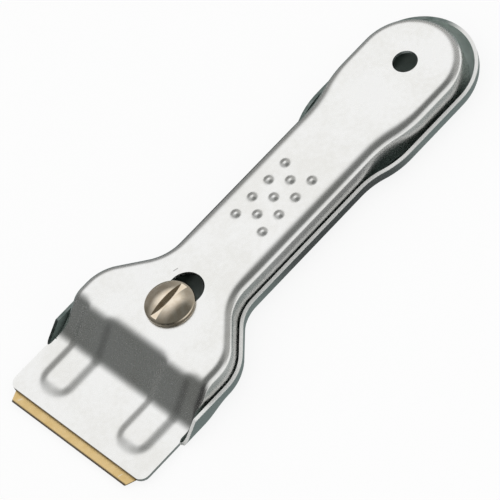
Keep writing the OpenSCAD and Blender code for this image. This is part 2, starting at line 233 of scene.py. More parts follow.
# %% The height of the cover's outer face
RIB_H, RIB_Y, RIB_OUT_R, RIB_IN_R = 0.78, 13.6, 6.0, 2.4
RIB_END_X, NOSE_SOFT, NOSE_FIRM = 60.3, 0.7, 0.5
PIP_X, PIP_STEP_X, PIP_STEP_Y, PIP_R, PIP_H = -5.6, 6.0, 4.6, 1.75, 0.5


def smooth(x, low, high):
    """0 before low, 1 after high, and the cubic with level ends between them."""
    t = np.clip((x - low) / (high - low), 0, 1)
    return t * t * (3 - 2 * t)


def step_profile(x, shift=0.0, lift=0.0):
    """Height along the tool: level top, an arc down, a straight slope, an arc out and the level plate,
    with the step moved forward by shift and the plate raised by lift."""
    foot_x, low = FOOT_X + shift - lift / np.tan(STEP), PLATE_TOP + lift
    top_x = STEP_X + shift
    arc_end, foot_start = top_x + STEP_TOP_R * np.sin(STEP), foot_x - STEP_FOOT_R * np.sin(STEP)
    crest = TOP_Z - STEP_TOP_R + np.sqrt(np.maximum(STEP_TOP_R**2 - (x - top_x) ** 2, 0))
    slope = TOP_Z - STEP_TOP_R * (1 - np.cos(STEP)) - (x - arc_end) * np.tan(STEP)
    foot = low + STEP_FOOT_R - np.sqrt(np.maximum(STEP_FOOT_R**2 - (x - foot_x) ** 2, 0))
    return np.select(
        [x <= top_x, x <= arc_end, x <= foot_start, x <= foot_x], [TOP_Z, crest, slope, foot], low
    )


def cover_height(x, y):
    """Step profile, mixed with the raised profile inside each rib, plus a cosine dome for each pip. The
    rib's wall is wider, so less steep, straight ahead of its nose, and narrower at the nose's corners."""
    ahead = np.maximum(x - RIB_END_X, 0)
    reach = np.hypot(ahead, np.abs(y) - RIB_Y)
    facing = (ahead / np.maximum(reach, 1e-6)) ** 2
    inner_r = RIB_IN_R - NOSE_SOFT * facing**2 + NOSE_FIRM * 4 * facing * (1 - facing)
    rib = 1 - smooth(reach, inner_r, RIB_OUT_R)
    raised = step_profile(x, RIB_H / np.sin(STEP), RIB_H)
    height = step_profile(x) * (1 - rib) + raised * rib
    for row, count in ((0, 3), (1, 4)):
        offset = (np.arange(count) - (count - 1) / 2) * PIP_STEP_X
        near = np.min(np.abs(x[..., None] - PIP_X - offset), axis=-1)
        reach = np.hypot(near, np.abs(y) - row * PIP_STEP_Y)
        height = height + PIP_H * (0.5 + 0.5 * np.cos(np.pi * np.minimum(reach / PIP_R, 1)))
    return height


def cover_half_width(x):
    """Half width in front of the head: a little narrower beside the step, wider past the tray's rims, and
    drawn in along a quarter circle at the front corner."""
    narrower, beside_step, past_rim = 0.1, (46.0, 52.0), (RIM_FOOT_X - 0.4, RIM_FOOT_X + 1.2)
    back = HEAD - narrower * smooth(x, *beside_step)
    width = back + (PLATE_HALF - back) * smooth(x, *past_rim)
    past = np.clip(x - (PLATE_X - CORNER_R), 0, CORNER_R)
    return width - CORNER_R + np.sqrt(CORNER_R**2 - past**2)


spot = np.array([0.0, 45.0, 60.0])
print("cover height at three places:", cover_height(spot, np.zeros(3)).round(2))

# %% [markdown]
# The slot and the holes lie on the middle line of both pressings. A boolean could cut them, but it leaves
# ragged faces round a hole. Here their edges are where the rows of both halves end, so what is needed is
# a hole's half width at each place, closer rows at its round ends, and rows that fan out round the back
# end of the tool, from its outline to the hole's edge.

# %% Holes and rows
def oblong_half(x, back, front, radius):
    """Half width of a round-ended hole along the middle line, 0 outside it."""
    past = np.maximum(np.maximum(back - x, x - front), 0)
    return np.sqrt(np.maximum(radius**2 - past**2, 0))


def round_ends(back, front, radius, count=9):
    """Places along a hole's two round ends, closer together near the tips."""
    turn = radius * np.cos(np.linspace(0, np.pi / 2, count))
    return np.concatenate([back - turn, front + turn])


def half_end(end_x, end_half, hole_x, hole_r, count=40):
    """The quarter turn of the round back end: outline points, normals and points on the hole's edge."""
    edge, normal = arc([end_x, 0], end_half, np.pi / 2, np.pi, 1, count)
    return edge[1:], normal[1:], (np.array([hole_x, 0]) + hole_r * normal)[1:]


def rows_of(edge, normal, inset, height):
    """Points inset from the outline along its normals, at the given heights, for rows by columns."""
    plan = edge[:, None, :] - normal[:, None, :] * inset[..., None]
    return np.concatenate([plan, height[..., None]], 2)


print("slot ends at", round_ends(SLOT_BACK_X, SCREW_X, SLOT_R)[[0, 9]].round(2), "mm")

# %% [markdown]
# The cover's rows run from the plate's front edge to the round back end. They could be spread evenly, but
# a surface needs more points where it bends, so they stand closer together on the step, the ribs, the
# pips and the holes' ends. In front of the head, the outline has its own width.

# %% Rows of the cover
quarter = np.linspace(0, np.pi / 2, 9)
rib_rows, step_rows, pip_rows = (54.0, 66.7), (40.4, 54.0), (-18.0, 8.0)
places = merged(
    PLATE_X - CORNER_R + CORNER_R * np.sin(quarter),
    np.arange(*rib_rows, 0.36),
    np.arange(*step_rows, 0.22),
    round_ends(SLOT_BACK_X, SCREW_X, SLOT_R),
    np.arange(*pip_rows, 0.42),
    TAIL_X + HANG_R * np.cos(quarter),
    np.arange(TAIL_X, step_rows[0], 0.8),
)
edge, normal = stations(cover_outline, places, SHOULDER * EDGE_R)
front = places > HEAD_X
edge[front, 1], normal[front] = cover_half_width(places[front]), [0, 1]
middle = oblong_half(places, SLOT_BACK_X, SCREW_X, SLOT_R)
middle = middle + oblong_half(places, TAIL_X, TAIL_X, HANG_R)
inner = np.stack([places, middle], 1)
end = half_end(TAIL_X, TAIL, TAIL_X, HANG_R)
edge, normal, inner = (np.concatenate(pair) for pair in zip((edge, normal, inner), end))
print("cover rows:", len(edge))

# %% [markdown]
# The cover itself: on each row, a wall that leans out a little, a soft shoulder and the height above. The
# shoulder could be an arc, but a quarter ellipse, wider than it is high, turns gently into the flat as
# pressed sheet does.

# %% Sliding cover
top = step_profile(edge[:, 0])
bend = np.minimum(EDGE_R, 0.5 * (top - PLATE_TOP))
skirt = np.minimum(SKIRT_Z, top - bend)
wall_h = top - bend - skirt
up = np.linspace(0, 1, 6)[:-1]
turn = np.linspace(0, np.pi / 2, 13)
across = np.linspace(0, 1, 46)[1:]
lean = -DRAFT * (1 - up) * np.clip(wall_h / DRAFT_H, 0, 1)[:, None]
wall = rows_of(edge, normal, lean, skirt[:, None] + wall_h[:, None] * up)
on_handle = smooth(edge[:, 0], *HANDLE_BACK) * (1 - smooth(edge[:, 0], *HANDLE_FRONT))
reach = bend * (SHOULDER + HANDLE_SHOULDER * on_handle)
shoulder_z = (top - bend)[:, None] + bend[:, None] * np.sin(turn)
shoulder = rows_of(edge, normal, reach[:, None] * (1 - np.cos(turn)), shoulder_z)
start = shoulder[:, -1, :2]
flat = start[:, None, :] + (inner - start)[:, None, :] * across[:, None]
flat = np.concatenate([flat, cover_height(flat[..., 0], flat[..., 1])[..., None]], 2)
cover = both_halves("sliding_cover", np.concatenate([wall, shoulder, flat], 1), flip=False)
sheet_metal(cover, edge=0.15)
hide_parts("slide_cover")
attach(cover, "cover")
print("cover:", len(cover.data.polygons), "faces before its thickness")

# %% [markdown]
# The tray is pressed the other way up: a flat floor with a rim bent up round it, and a tongue at the
# front that the blade lies on. Its outer face is worked out in the same way, with the rim cut down in a
# slant at the front, and the thickness goes inwards.

# %% Base tray
rim_rows = (RIM_END_X, 56.0)
places = merged(
    np.arange(*rim_rows, 0.25),
    np.arange(rim_rows[1], TAPER_X, 1.2),
    [TAPER_X, TONGUE_X],
    SCREW_X + BUSH_HOLE_R * np.cos(np.linspace(0, np.pi, 21)),
    TAIL_X + TRAVEL + HANG_R * np.cos(quarter),
    np.arange(TRAY_TAIL_X, RIM_END_X, 0.8),
)
edge, normal = stations(tray_outline, places, BEND_R)
edge[:, 1] -= np.clip(places - TAPER_X, 0, TONGUE_X - TAPER_X)
hang = np.maximum(places, TAIL_X)
middle = oblong_half(hang, TAIL_X, TAIL_X + TRAVEL, HANG_R)
middle = middle + oblong_half(places, SCREW_X, SCREW_X, BUSH_HOLE_R)
inner = np.stack([hang, middle], 1)
end = half_end(TRAY_TAIL_X, TRAY_TAIL + RIM_OUT, TAIL_X, HANG_R)
edge, normal, inner = (np.concatenate(pair) for pair in zip((edge, normal, inner), end))
rim_x = [RIM_END_X, RIM_FOOT_X, RIM_FOOT_X + RIM_FADE]
rim = np.interp(edge[:, 0], rim_x, [RIM_H, RIM_LOW, 0.0])
bend = BEND_R + (FRONT_BEND_R - BEND_R) * smooth(edge[:, 0], *FRONT_BEND_X)
low = np.minimum(rim, bend)
fold = np.arccos(1 - low / bend)[:, None] * np.linspace(1, 0, 11)
bend = bend[:, None]
round_edge = rows_of(edge, normal, bend * (1 - np.sin(fold)), bend * (1 - np.cos(fold)))
wall = round_edge[:, :1] + ((rim - low)[:, None] * [1, 0.5])[..., None] * [0, 0, 1]
start = round_edge[:, -1, :2]
flat = start[:, None, :] + (inner - start)[:, None, :] * np.linspace(0, 1, 20)[1:, None]
flat = np.concatenate([flat, np.zeros(flat.shape[:2] + (1,))], 2)
tray = both_halves("pressed_tray", np.concatenate([wall, round_edge, flat], 1), flip=True)
sheet_metal(tray, edge=0.25, inside=1, cut=2)
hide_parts("base_tray")
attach(tray, "base")
print("tray:", len(tray.data.polygons), "faces before its thickness")

# %% [markdown]
# The clamp screw has a low dome with a slot for a coin, which runs out just inside the dome's edge. A
# slot could be cut with a boolean, but here the dome is made of two half discs that stop at the slot,
# joined by the slot's walls and floor.

# %% Head of the clamp screw
HEAD_Z, HEAD_R, HEAD_RIM, DOME_H, COIN_HALF, COIN_DEEP = 10.85, 6.35, 0.95, 1.8, 0.95, 1.4
HEAD_ROUND, HEAD_FOOT_ROUND, DISC_ROWS = 0.3, 0.25, 25
DOME_R = (HEAD_R**2 + DOME_H**2) / (2 * DOME_H)
DOME_TOP = HEAD_Z + HEAD_RIM + DOME_H
FLOOR_Z = DOME_TOP - COIN_DEEP
FLOOR_R = np.sqrt(DOME_R**2 - (DOME_R - COIN_DEEP) ** 2)


def dome(x, y):
    """Height on the sphere that the head is part of, less a quarter circle at the head's corner."""
    reach = np.minimum(np.hypot(x, y), HEAD_R)
    past = np.clip((reach - HEAD_R) / HEAD_ROUND + 1, 0, 1)
    sphere = DOME_TOP - DOME_R + np.sqrt(DOME_R**2 - reach**2)
    return sphere - HEAD_ROUND * (1 - np.sqrt(1 - past**2))


def place(x, y, z):
    """One array of points beside the screw's axis, from three arrays of one shape."""
    x, y, z = np.broadcast_arrays(x, y, z)
    return np.stack([x + SCREW_X, y, z], -1)


def ring_angles():
    """Angles of the head's edge points from 0 to a half turn: across the slot's end, then at each row of
    the half disc."""
    rows = COIN_HALF + (HEAD_R - COIN_HALF) * np.sin(np.linspace(0, np.pi / 2, DISC_ROWS))
    quarter = np.arcsin(np.append([0, COIN_HALF / 2], rows) / HEAD_R)
    return np.append(quarter, np.pi - quarter[-2::-1])


def half_head(angles):
    """Patches of one half with their turn: the half disc, the slot's wall, half of the slot's floor,
    which is level until it meets the dome, and the straight rim with its lower corner. Along the slot,
    the points are the cosines of even angles and the two places where the floor meets the dome."""
    floor_ends = np.array([-FLOOR_R, FLOOR_R]) / HEAD_R
    share = np.sort(np.append(-np.cos(np.linspace(0, np.pi, 61)), floor_ends))
    depth = HEAD_R * np.sin(angles[2:2 + DISC_ROWS])[:, None]
    x = share * np.sqrt(np.maximum(HEAD_R**2 - depth**2, 0))
    along = share * np.sqrt(HEAD_R**2 - COIN_HALF**2)
    edge_z = dome(along, COIN_HALF)
    y = HEAD_R * np.sin(angles[2::-1])[:, None]
    floor_x = share * np.sqrt(HEAD_R**2 - y**2)
    turn = np.linspace(0, np.pi / 2, 6)
    radius = np.append(HEAD_R - HEAD_FOOT_ROUND * (1 - np.sin(turn)), HEAD_R)[:, None]
    foot_z = HEAD_Z + HEAD_FOOT_ROUND * (1 - np.cos(turn))
    rim_z = np.append(foot_z, HEAD_Z + HEAD_RIM - HEAD_ROUND)[:, None]
    return [
        (place(x, depth, dome(x, depth)), True),
        (place(along, COIN_HALF, np.stack([edge_z, np.minimum(edge_z, FLOOR_Z)])), False),
        (place(floor_x, y, np.minimum(dome(floor_x, y), FLOOR_Z)), False),
        (place(radius * np.cos(angles), radius * np.sin(angles), rim_z), True),
    ]


angles = ring_angles()
head = half_head(angles)
print(f"head: dome radius {DOME_R:.2f} mm,", len(angles), "points along half of its edge")

# %% [markdown]
# Below the head, the thread is a tube whose radius rises and falls along a helix. A profile could be wound
# with a Screw modifier, but the tube meets the head's edge point for point and tapers at its tip.

# %% Thread of the clamp screw
THREAD_R, THREAD_DEEP, PITCH, SCREW_L, CREASE = 3.0, 0.55, 1.0, 8.6, np.radians(22)


def threaded_shank(angles):
    """Underside of the head, then a tube with a radius that swings by a cosine of height less turn, and
    the end face: rows go inwards, down and inwards again."""
    turn = np.append(angles, 2 * np.pi - angles[-2::-1])
    down = np.linspace(0, 1, 140)[:, None]
    z = HEAD_Z - SCREW_L * down
    run_in, point, taper = (0.06, 0.12), (0.95, 1.0), 0.12
    swing = 0.5 - 0.5 * np.cos(2 * np.pi * z / PITCH - turn)
    radius = THREAD_R - THREAD_DEEP * smooth(down, *run_in) * swing
    radius = radius * (1 - taper * smooth(down, *point))
    ring = np.ones((1, len(turn)))
    radius = np.concatenate([ring * (HEAD_R - HEAD_FOOT_ROUND), radius, ring * 0])
    z = np.concatenate([z[:1], z, z[-1:]])
    return place(radius * np.cos(turn), radius * np.sin(turn), z), False


mirrored = [(grid * [1, -1, 1], not flip) for grid, flip in head]
screw = from_patches("coin_screw", head + mirrored + [threaded_shank(angles)])
screw.data.set_sharp_from_angle(angle=CREASE)
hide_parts("clamp_screw")
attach(screw, "screw")
print("screw:", len(screw.data.polygons), "faces")

# %% [markdown]
# The bush that takes the screw and the two pegs that hold the blade were turned on a lathe, so each is a
# profile carried round an axis. The bush's bore gets the same thread as the screw, which shows from
# below. The pegs' riveted ends are level with the tray's underside, so they stop inside the sheet here
# and the tray's finish shows their outline.

# %% Threaded bush and blade pegs
BUSH_R, FOOT_R, SPIGOT_R, BORE_R, BUSH_TOP, SPIGOT_TOP = 6.0, 4.0, 4.65, 3.05, 9.85, 10.55
BUSH_FOOT, BUSH_CHAMFER, GROOVE = 0.02, 0.5, 0.35
PEG_X, PEG_R, SHANK_R, PEG_TOP, PEG_END = 61.0, 2.0, 1.5, 1.95, 0.4


def turned(radius, height, x, y, turn):
    """A profile of radii and heights carried once round an upright axis at x, y."""
    radius, height, turn = np.broadcast_arrays(radius, height, turn)
    return np.stack([x + radius * np.cos(turn), y + radius * np.sin(turn), height], -1)


def bush_rows(turn):
    """Down the bush's outside and up its bore, where the radius grows by a cosine of height less turn."""
    outside = np.array([
        [BORE_R, SPIGOT_TOP], [SPIGOT_R, SPIGOT_TOP], [SPIGOT_R, BUSH_TOP], [BUSH_R, BUSH_TOP],
        [BUSH_R, SHEET], [FOOT_R, SHEET], [FOOT_R, BUSH_FOOT], [BORE_R + BUSH_CHAMFER, BUSH_FOOT],
    ])
    run_in, run_out = (BUSH_CHAMFER, 1.2), (9.2, 10.2)
    z = np.linspace(BUSH_CHAMFER, SPIGOT_TOP - 0.3, 150)[:, None]
    groove = GROOVE * smooth(z, *run_in) * (1 - smooth(z, *run_out))
    bore = BORE_R + groove * (0.5 + 0.5 * np.cos(2 * np.pi * z / PITCH - turn))
    ring = np.ones((1, len(turn)))
    radius = np.concatenate([outside[:, :1] * ring, bore, BORE_R * ring])
    height = np.concatenate([outside[:, 1:], z, [[SPIGOT_TOP]]])
    return turned(radius, height, SCREW_X, 0.0, turn)


turn = np.linspace(0, 2 * np.pi, 97)
bush = from_patches("screw_bush", [(bush_rows(turn), False)])
peg = np.array([
    [0, PEG_TOP], [PEG_R, PEG_TOP], [PEG_R, SHEET],
    [SHANK_R, SHEET], [SHANK_R, PEG_END], [0, PEG_END],
])
pair = [turned(peg[:, :1], peg[:, 1:], PEG_X, side * RIB_Y, turn) for side in (-1, 1)]
pegs = from_patches("blade_rivets", [(grid, False) for grid in pair])
for piece, node in ((bush, "threaded_bush"), (pegs, "blade_pegs")):
    soften(piece, "worn_edges", width=0.15, segments=2)
    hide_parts(node)
    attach(piece, "base")
print("bush:", len(bush.data.polygons), "faces, pegs:", len(pegs.data.polygons), "faces")

# %% [markdown]
# A finish is a tree of shader nodes. Wiring them one by one hides the idea, so a small class wraps a
# socket: sums and products of sockets in Python add the Math nodes, and one method adds any other node.

# %% Shader arithmetic
class Wire:
    """A shader socket that can stand in a Python sum or product; each operation adds one Math node."""

    def __init__(self, tree, socket=None):
        self.tree, self.socket = tree, socket

    def add(self, kind, settings=None, inputs=None, out=0):
        """Adds a node of a type: its settings first, then a value or a link for each named input."""
        node = self.tree.nodes.new(kind)
        for key, value in (settings or {}).items():
            setattr(node, key, value)
        for key, value in (inputs or {}).items():
            if isinstance(value, Wire):
                self.tree.links.new(value.socket, node.inputs[key])
            else:
                node.inputs[key].default_value = value
        return Wire(self.tree, node.outputs[out])

    def math(self, operation, *values):
        """One Math node on sockets or numbers."""
        return self.add("ShaderNodeMath", {"operation": operation}, dict(enumerate(values)))

    # Sum, difference and product, also with a number in front.
    def __add__(self, other):
        return self.math("ADD", self, other)

    def __sub__(self, other):
        return self.math("SUBTRACT", self, other)

    def __rsub__(self, other):
        return self.math("SUBTRACT", other, self)

    def __mul__(self, other):
        return self.math("MULTIPLY", self, other)

    __radd__, __rmul__ = __add__, __mul__

    def between(self, low, high):
        """0 below low, 1 above high, with a soft passage between them."""
        settings = {"interpolation_type": "SMOOTHSTEP"}
        return self.add("ShaderNodeMapRange", settings, {"Value": self, 1: low, 2: high})

    def mix(self, first, second):
        """First colour where this value is 0, second where it is 1."""
        return self.add("ShaderNodeMix", {"data_type": "RGBA"}, {0: self, 6: first, 7: second}, out=2)


print("a wire's methods:", [name for name in vars(Wire) if not name.startswith("_")])

# %% [markdown]
# The finishes share a few patterns. Images could hold them, but noise worked out from the place on a
# piece has no seams and stays sharp close up: clouds and grain are noise of different sizes, the marks of
# a lathe are noise of one number, and a bump turns a height into a leaning normal. Places are Object
# coordinates, which are in metres.

# %% Patterns for the finishes
def finish(name):
    """A new material with its principled shader, and an empty wire to start expressions from."""
    material = bpy.data.materials.new(name)
    material.use_nodes = True
    tree = material.node_tree
    return material, tree.nodes["Principled BSDF"], Wire(tree)


def feed(shader, wire, **values):
    """Sets or links a shader's sockets by their names, with _ for a space."""
    for key, value in values.items():
        socket = shader.inputs[key.replace("_", " ")]
        if isinstance(value, Wire):
            wire.tree.links.new(value.socket, socket)
        else:
            socket.default_value = value


def noise(wire, vector, size, detail):
    """Noise from 0 to 1 with spots of about a size in millimetres."""
    inputs = {"Vector": vector, "Scale": 1 / (size * MM), "Detail": detail}
    return wire.add("ShaderNodeTexNoise", {}, inputs)


def lathe_rings(wire, along, scale):
    """Noise of one number alone, which makes rings; scale is about their count in a metre."""
    inputs = {"W": along, "Scale": scale, "Detail": 2.0}
    return wire.add("ShaderNodeTexNoise", {"noise_dimensions": "1D"}, inputs)


def two_tone(cloud, low, high):
    """One colour where a noise is under 0.3, another where it is over 0.7, and a soft passage."""
    return cloud.between(0.3, 0.7).mix((*low, 1), (*high, 1))


def bump(wire, height, strength, depth=0.05):
    """A normal that leans as if the surface rose with the height, over a depth in millimetres."""
    inputs = {"Strength": strength, "Distance": depth * MM, "Height": height}
    return wire.add("ShaderNodeBump", {}, inputs)


def parts(vector):
    """The three numbers of a vector."""
    split = vector.add("ShaderNodeSeparateXYZ", {}, {0: vector})
    return [Wire(vector.tree, split.socket.node.outputs[k]) for k in range(3)]


def axes(wire):
    """Object coordinates, and each of their three numbers."""
    where = wire.add("ShaderNodeTexCoord", out=3)
    return where, *parts(where)


print("materials so far:", len(bpy.data.materials))

# %% [markdown]
# The cover is plated and then left satin: pale, a little grainy, with a cloudy unevenness, a nick beside
# the slot and painted shade on the cut edge at the front. A plain metal shader would look like a render,
# so fine noise moves its colour and its roughness, and a faint bump breaks up the reflections.

# %% Satin plating of the cover
def scratch(wire, x, y, first, last, width):
    """1 on a short line between two places in millimetres, fading at its sides and its ends."""
    first, last = np.array(first) * MM, np.array(last) * MM
    middle, half = (first + last) / 2, np.linalg.norm(last - first) / 2
    ahead = (last - first) / (2 * half)
    across = wire.math("ABSOLUTE", (x - middle[0]) * -ahead[1] + (y - middle[1]) * ahead[0])
    along = wire.math("ABSOLUTE", (x - middle[0]) * ahead[0] + (y - middle[1]) * ahead[1])
    sides = 1 - across.between(0.2 * width * MM, 0.6 * width * MM)
    return sides * (1 - along.between(0.7 * half, half))


satin, shader, w = finish("satin_plating")
where, x, y, _ = axes(w)
grain, spots, cloud = noise(w, where, 0.3, 3), noise(w, where, 1.3, 3), noise(w, where, 16, 2)
nick = scratch(w, x, y, (23.0, -5.7), (24.5, -6.15), width=0.36)
# Painted shade: the plate's front cut edge is coloured nearly black.
cut = x.between((PLATE_X - 0.14) * MM, (PLATE_X - 0.04) * MM)
patches = (spots * 0.3 + cloud * 0.7).between(0.34, 0.62)
plated = patches.mix((0.815, 0.81, 0.785, 1), (0.885, 0.885, 0.875, 1))
feed(
    shader, w, Metallic=1.0,
    Base_Color=w.math("MAXIMUM", nick * 0.6, cut).mix(plated, (0.16, 0.15, 0.14, 1)),
    Roughness=0.21 + grain * 0.08 + cloud * 0.05,
    Normal=bump(w, grain, 0.03),
)
cover.data.materials.append(satin)
print("satin plating:", len(satin.node_tree.nodes), "nodes")

# %% [markdown]
# The tray has the same plating but is brighter and smoother outside, since it isn't rubbed by the hand.
# It mirrors the ground and the cover beside it, so its roughness is lower. On its underside, a dark ring
# and a duller disc show where each peg's shank was riveted level with the sheet. The inside is dull and
# greenish, with painted shade along its sides. The sheared rim is bare, with painted shade on the far side
# and a painted pale highlight on the near one, which the rim's top shares. The thickness modifier gives
# each kind of face its own finish.

# %% Finishes of the tray
# The pale colour of a painted highlight on the rim's near side.
PALE_HIGHLIGHT = (0.84, 0.84, 0.82, 1)

bright, shader, w = finish("bright_plating")
where, x, y, z = axes(w)
grain, cloud = noise(w, where, 0.5, 2), noise(w, where, 9, 2)
side = w.math("ABSOLUTE", y) - RIB_Y * MM
reach = w.math("SQRT", (x - PEG_X * MM) * (x - PEG_X * MM) + side * side)
under = 1 - z.between(0.1 * MM, 0.2 * MM)
disc = under * (1 - reach.between((SHANK_R - 0.05) * MM, SHANK_R * MM))
ring = under * (1 - w.math("ABSOLUTE", reach - SHANK_R * MM).between(0.04 * MM, 0.1 * MM))
rim_edge = z.between((RIM_H - 0.3) * MM, (RIM_H - 0.2) * MM)
# Painted highlight: the top of the rim is pale and less metallic on the near side only.
near_side_highlight = rim_edge * y.between(-4 * MM, 4 * MM) * (0.6 + 0.4 * grain)
plated = near_side_highlight.mix(two_tone(cloud, (0.66, 0.71, 0.70), (0.78, 0.81, 0.80)), PALE_HIGHLIGHT)
feed(
    shader, w, Metallic=1 - 0.9 * near_side_highlight,
    Base_Color=ring.mix(disc.mix(plated, (0.42, 0.41, 0.39, 1)), (0.05, 0.05, 0.05, 1)),
    Roughness=0.16 + grain * 0.06 + cloud * 0.05 + disc * 0.15,
    Normal=bump(w, grain, 0.04),
)
tray.data.materials.append(bright)

dull, shader, w = finish("dull_plating")
where, x, y, _ = axes(w)
cloud = noise(w, where, 6, 3)
# Painted shade: the inside is darker along its sides, and keeps its pale colour in the middle and at the
# near half of the back end.
middle = 1 - w.math("ABSOLUTE", y).between(6 * MM, 9 * MM)
unshaded_back_end = (1 - x.between(-67 * MM, -58 * MM)) * y.between(-9 * MM, 2 * MM)
# The darker of the two colours is the painted shade's colour.
film_and_shade = two_tone(cloud, (0.13, 0.18, 0.165), (0.22, 0.28, 0.255))
unshaded_inside = two_tone(cloud, (0.54, 0.64, 0.60), (0.68, 0.77, 0.73))
feed(
    shader, w, Metallic=0.25,
    Base_Color=w.math("MAXIMUM", middle, unshaded_back_end).mix(film_and_shade, unshaded_inside),
    Roughness=0.4 + cloud * 0.15,
)
tray.data.materials.append(dull)

sheared, shader, w = finish("sheared_edge")
where, _, y, _ = axes(w)
cloud = noise(w, where, 1.5, 3)
# Painted light: the cut face is pale on the near side as a painted highlight, and dark on the far side as
# painted shade over bare steel.
near_side_highlight = y.between(-4 * MM, 4 * MM)
bare_and_shade = two_tone(cloud, (0.10, 0.13, 0.12), (0.19, 0.22, 0.21))
feed(
    shader, w, Metallic=1 - 0.75 * near_side_highlight,
    Base_Color=near_side_highlight.mix(bare_and_shade, PALE_HIGHLIGHT),
    Roughness=0.25 + cloud * 0.15,
)
tray.data.materials.append(sheared)
print("tray finishes:", [m.name for m in tray.data.materials])

# %% [markdown]
# The blade carries a thin gold-coloured film with fine streaks across its width and two pale scratches,
# worn off along the ground edge, where darker bare steel shows. Its solid has the right shape, so it
# keeps its mesh and only gets this finish. The wear is a mask of the distance to the cutting edge.

# %% Gold film on the blade
gold, shader, w = finish("gold_film")
where, x, y, _ = axes(w)
stretch = w.add("ShaderNodeMapping", {}, {"Vector": where, "Scale": (0.3, 1, 1)})
streak, cloud = noise(w, stretch, 0.4, 3), noise(w, where, 2.5, 3)
film_and_shade = two_tone(streak * 0.4 + cloud * 0.6, (0.74, 0.53, 0.23), (0.86, 0.65, 0.34))
left = scratch(w, x, y, (69.8, -18.2), (71.0, -18.9), width=0.35)
right = scratch(w, x, y, (69.9, 17.4), (71.2, 17.0), width=0.3)
pale = w.math("MAXIMUM", left, right)
bare_and_shade = (x + cloud * (0.1 * MM)).between((EDGE_X - 0.42) * MM, (EDGE_X - 0.3) * MM)
feed(
    shader, w, Metallic=1.0,
    Base_Color=bare_and_shade.mix((pale * 0.6).mix(film_and_shade, (0.85, 0.80, 0.70, 1)), (0.16, 0.13, 0.10, 1)),
    Roughness=0.3 + streak * 0.15,
    Normal=bump(w, streak, 0.08),
)
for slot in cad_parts["blade"].material_slots:
    slot.material = gold
print("gold film:", len(gold.node_tree.nodes), "nodes")

# %% [markdown]
# The screw is polished nickel with a warm tint. Its head was turned on a lathe, which leaves fine rings
# round its axis: noise of the distance from the axis alone gives them.

# %% Warm nickel of the screw
nickel, shader, w = finish("warm_nickel")
where, x, y, _ = axes(w)
x = x - SCREW_X * MM
rings = lathe_rings(w, w.math("SQRT", x * x + y * y), 9000.0)
cloud = noise(w, where, 1.6, 3)
feed(
    shader, w, Metallic=1.0,
    Base_Color=two_tone(cloud, (0.74, 0.63, 0.49), (0.82, 0.73, 0.60)),
    Roughness=0.08 + rings * 0.05 + cloud * 0.06,
    Normal=bump(w, rings, 0.06, depth=0.03),
)
screw.data.materials.append(nickel)
print("warm nickel:", len(nickel.node_tree.nodes), "nodes")

# %% [markdown]
# The bush and the pegs are plain turned steel, mostly hidden: a darker, duller finish with the lathe's
# rings and a trace of oil.

# %% Turned steel of the bush and pegs
oiled, shader, w = finish("turned_steel")
where, _, _, z = axes(w)
rings = lathe_rings(w, z, 6000.0)
oil = noise(w, where, 2.0, 3)
feed(
    shader, w, Metallic=1.0,
    Base_Color=two_tone(oil, (0.20, 0.19, 0.17), (0.40, 0.39, 0.37)),
    Roughness=0.3 + rings * 0.15,
    Normal=bump(w, rings, 0.1),
)
bush.data.materials.append(oiled)
pegs.data.materials.append(oiled)
print("turned steel:", len(oiled.node_tree.nodes), "nodes")

# %% [markdown]
# The tool lies on a white floor. More light could make the floor white, but it would flood the tool as
# well, so the floor glows a little for the camera and for reflections, and still keeps the soft shadow.

# %% White floor
FLOOR_HALF, FLOOR_DROP = 6000.0, 0.05


def seen_rays(wire):
    """1 for rays from the camera, from a reflection or through glass, 0 for light on dull surfaces: the
    larger of two values, the sum of the first two marks and the third."""
    rays = wire.add("ShaderNodeLightPath").socket.node.outputs
    names = ("Is Camera Ray", "Is Glossy Ray", "Is Transmission Ray")
    direct, glossy, through = [Wire(wire.tree, rays[name]) for name in names]
    return wire.math("MAXIMUM", direct + glossy, through)


def stage_piece(name, points, material):
    """One flat four-sided piece of the stage."""
    piece = add_mesh(name, points, [[0, 1, 2, 3]])
    piece.data.materials.append(material)
    piece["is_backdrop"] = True
    return piece


square = np.array([[-1, -1, 0], [1, -1, 0], [1, 1, 0], [-1, 1, 0]])
paper, shader, w = finish("white_paper")
feed(shader, w, Base_Color=(0.95, 0.95, 0.95, 1), Roughness=0.9)
glow = w.add("ShaderNodeEmission", {}, {"Color": (1, 1, 1, 1), "Strength": 1.0})
inputs = {0: seen_rays(w) * 0.86, 1: Wire(w.tree, shader.outputs[0]), 2: glow}
lit = w.add("ShaderNodeMixShader", {}, inputs)
w.tree.links.new(lit.socket, w.tree.nodes["Material Output"].inputs[0])
paper.cycles.emission_sampling = "NONE"
stage_piece("floor", square * FLOOR_HALF - [0, 0, FLOOR_DROP], paper)
print("floor:", 2 * FLOOR_HALF * MM, "m wide")

# %% [markdown]
# Bright metal shows whatever lies round it. Here one glowing card lies on the ground, seen only in
# reflections: dark beside the tool, where it paints the tool's shadow on the ground and the shade in the
# corner by the flare, and pale further out, which draws the dark and bright lines along the tool's edges.
# A plain floor would leave the edges without lines. All places
# on the card are in metres: half is the tool's half width, and away is the distance past its outline.

# %% Ground card
CARD_HALF, CARD_DROP = 700.0, 0.01

card, shader, w = finish("ground_card")
_, x, y, _ = axes(w)
neck, flare, tail = 0.0131, 0.0116, 0.003
half = neck + flare * x.between(0.016, 0.039) + tail * (1 - x.between(-0.038, -0.022))
past = w.math("MINIMUM", x + 0.056, 0.0)
away = w.math("SQRT", past * past + y * y) - half
# Painted shadow: the ground beside the handle is darker, as in the tool's shadow.
handle = 1 - w.math("ABSOLUTE", x + 0.014).between(0.012, 0.032)
front = x.between(0.045, 0.07) * (1 - y.between(0.018, 0.026))
